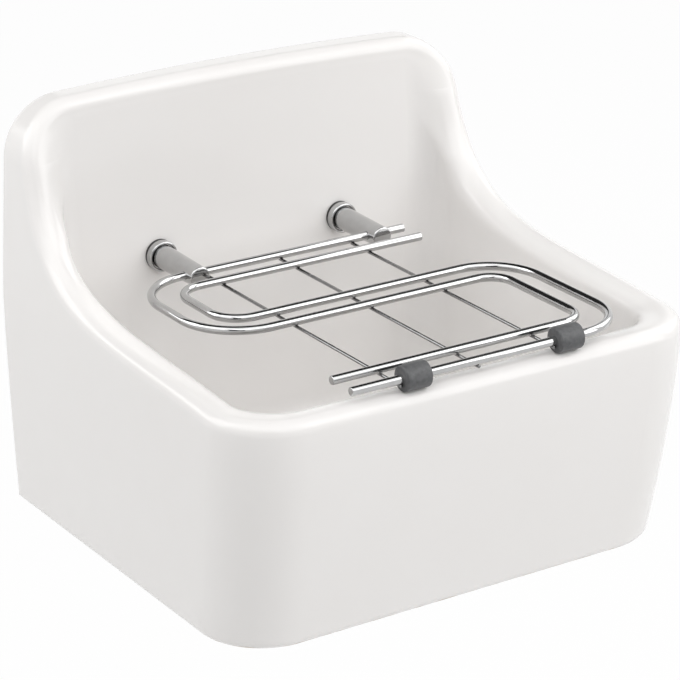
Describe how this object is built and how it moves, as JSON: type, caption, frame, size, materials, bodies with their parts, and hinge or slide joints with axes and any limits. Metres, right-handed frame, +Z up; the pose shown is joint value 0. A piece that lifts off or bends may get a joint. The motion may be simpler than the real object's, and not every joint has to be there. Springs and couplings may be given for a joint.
{
  "type": "mop service sink",
  "caption": "Wall-hung glazed fireclay cleaner's sink with high splashback, raised side wings, hinged chrome rod bucket grating on posts, rubber buffers and strainer waste",
  "frame": {"origin": "on the wall face, midway between the two fixing axes, at the height of the grating's hinge", "axes": "+Z up, -Y out of the wall towards the user, +X to the right seen from the front"},
  "size_m": [0.48, 0.4272, 0.45],
  "materials": {
    "glaze": "gloss white glaze",
    "chrome": "polished chrome plate",
    "buffer_rubber": "matt moulded, dark grey",
    "seal_rubber": "matt moulded, black",
    "nylon": "natural nylon",
    "nut_brass": "as machined"
  },
  "bodies": {
    "root": {"basin": "glaze", "post_left": "chrome", "post_right": "chrome", "rose_left": "chrome", "rose_right": "chrome", "rose_gasket_left": "seal_rubber", "rose_gasket_right": "seal_rubber", "fixing_sleeve_left": "nylon", "fixing_sleeve_right": "nylon", "waste_body": "chrome", "waste_strainer": "chrome", "strainer_screw": "chrome", "waste_seal_upper": "seal_rubber", "waste_seal_lower": "seal_rubber", "waste_slip_washer": "nylon", "waste_backnut": "nut_brass"},
    "grating": {"grating_rod_outer": "chrome", "grating_rod_inner": "chrome", "cross_wire_left": "chrome", "cross_wire_middle": "chrome", "cross_wire_right": "chrome", "buffer_left": "buffer_rubber", "buffer_right": "buffer_rubber"}
  },
  "joints": [
    {"name": "grating_hinge", "type": "hinge", "parent": "root", "child": "grating", "pos_m": [0, -0.106, 0], "axis": [-1, 0, 0], "range_deg": [0, 107]}
  ]
}
